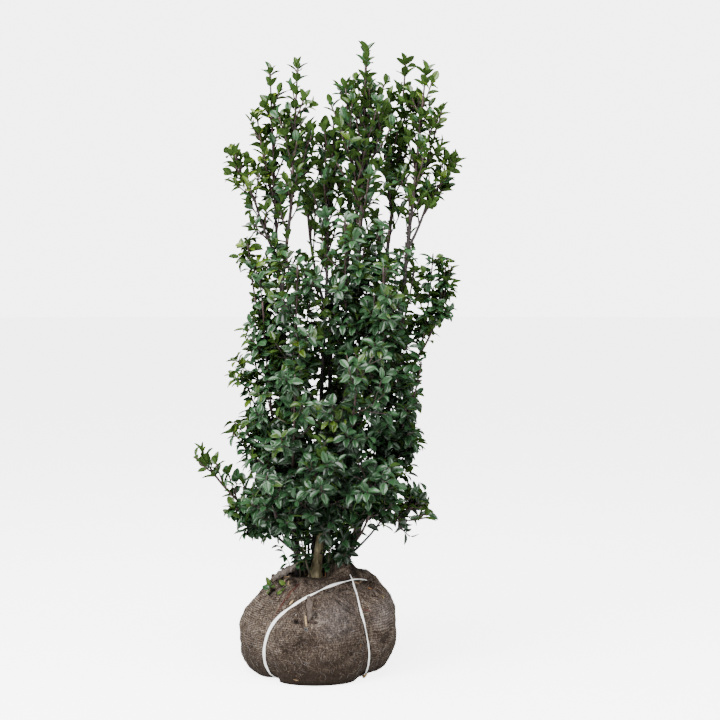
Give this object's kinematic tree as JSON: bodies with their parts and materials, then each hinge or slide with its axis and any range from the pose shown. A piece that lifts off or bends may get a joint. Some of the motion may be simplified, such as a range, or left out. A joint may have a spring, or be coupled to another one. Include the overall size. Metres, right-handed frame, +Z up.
{
  "type": "root-balled blue holly shrub",
  "caption": "Upright multi-stem blue holly shrub with glossy leaves, its root ball wrapped in dark cloth and tied with white bands.",
  "frame": {"origin": "middle of the root ball's flat underside", "axes": "+Z up along the plant, -Y towards the viewer of the picture, +X to the viewer's right"},
  "size_m": [0.6185, 0.4975, 1.4643],
  "materials": {
    "ball_cloth": "coarse dark woven cloth with loose fibres and soil marks",
    "band_tape": "flat white band, slightly twisted and creased",
    "trunk_bark": "smooth pale olive-brown bark with an orange-brown patch",
    "stem_bark": "smooth grey-brown to purple-brown bark",
    "foliage": "glossy blue-green leaves with a pale sheen, yellow-green at the shoot tips",
    "sprout_leaves": "fresh light green leaves"
  },
  "bodies": {
    "root": {"arm_left": "stem_bark", "arm_right": "stem_bark", "band_slanting": "band_tape", "band_upright": "band_tape", "bough_back_left": "stem_bark", "bough_back_right": "stem_bark", "bough_inner_left": "stem_bark", "bough_outer_left": "stem_bark", "bough_outer_right": "stem_bark", "bough_spray_left": "stem_bark", "bough_spray_right": "stem_bark", "crown_back_left": "foliage", "crown_back_right": "foliage", "crown_centre": "foliage", "crown_inner_left": "foliage", "crown_inner_right": "foliage", "crown_middle": "foliage", "crown_outer_left": "foliage", "crown_outer_right": "foliage", "crown_spray_left": "foliage", "crown_spray_right": "foliage", "leader_centre": "stem_bark", "leader_inner_right": "stem_bark", "lower_arm_left": "foliage", "lower_arm_right": "foliage", "lower_back_left": "foliage", "lower_back_right": "foliage", "lower_front": "foliage", "lower_front_left": "foliage", "lower_front_right": "foliage", "lower_left": "foliage", "lower_right": "foliage", "lower_skirt_left": "foliage", "middle_back": "foliage", "middle_back_left": "foliage", "middle_back_right": "foliage", "middle_front": "foliage", "middle_front_left": "foliage", "middle_left": "foliage", "middle_right": "foliage", "root_ball": "ball_cloth", "sprout": "sprout_leaves", "stem_back": "stem_bark", "stem_left": "stem_bark", "stem_middle": "stem_bark", "stem_right": "stem_bark", "trunk": "trunk_bark", "upper_back": "foliage", "upper_back_left": "foliage", "upper_back_right": "foliage", "upper_front": "foliage", "upper_front_left": "foliage", "upper_front_right": "foliage", "upper_left": "foliage", "upper_right": "foliage"}
  },
  "joints": []
}
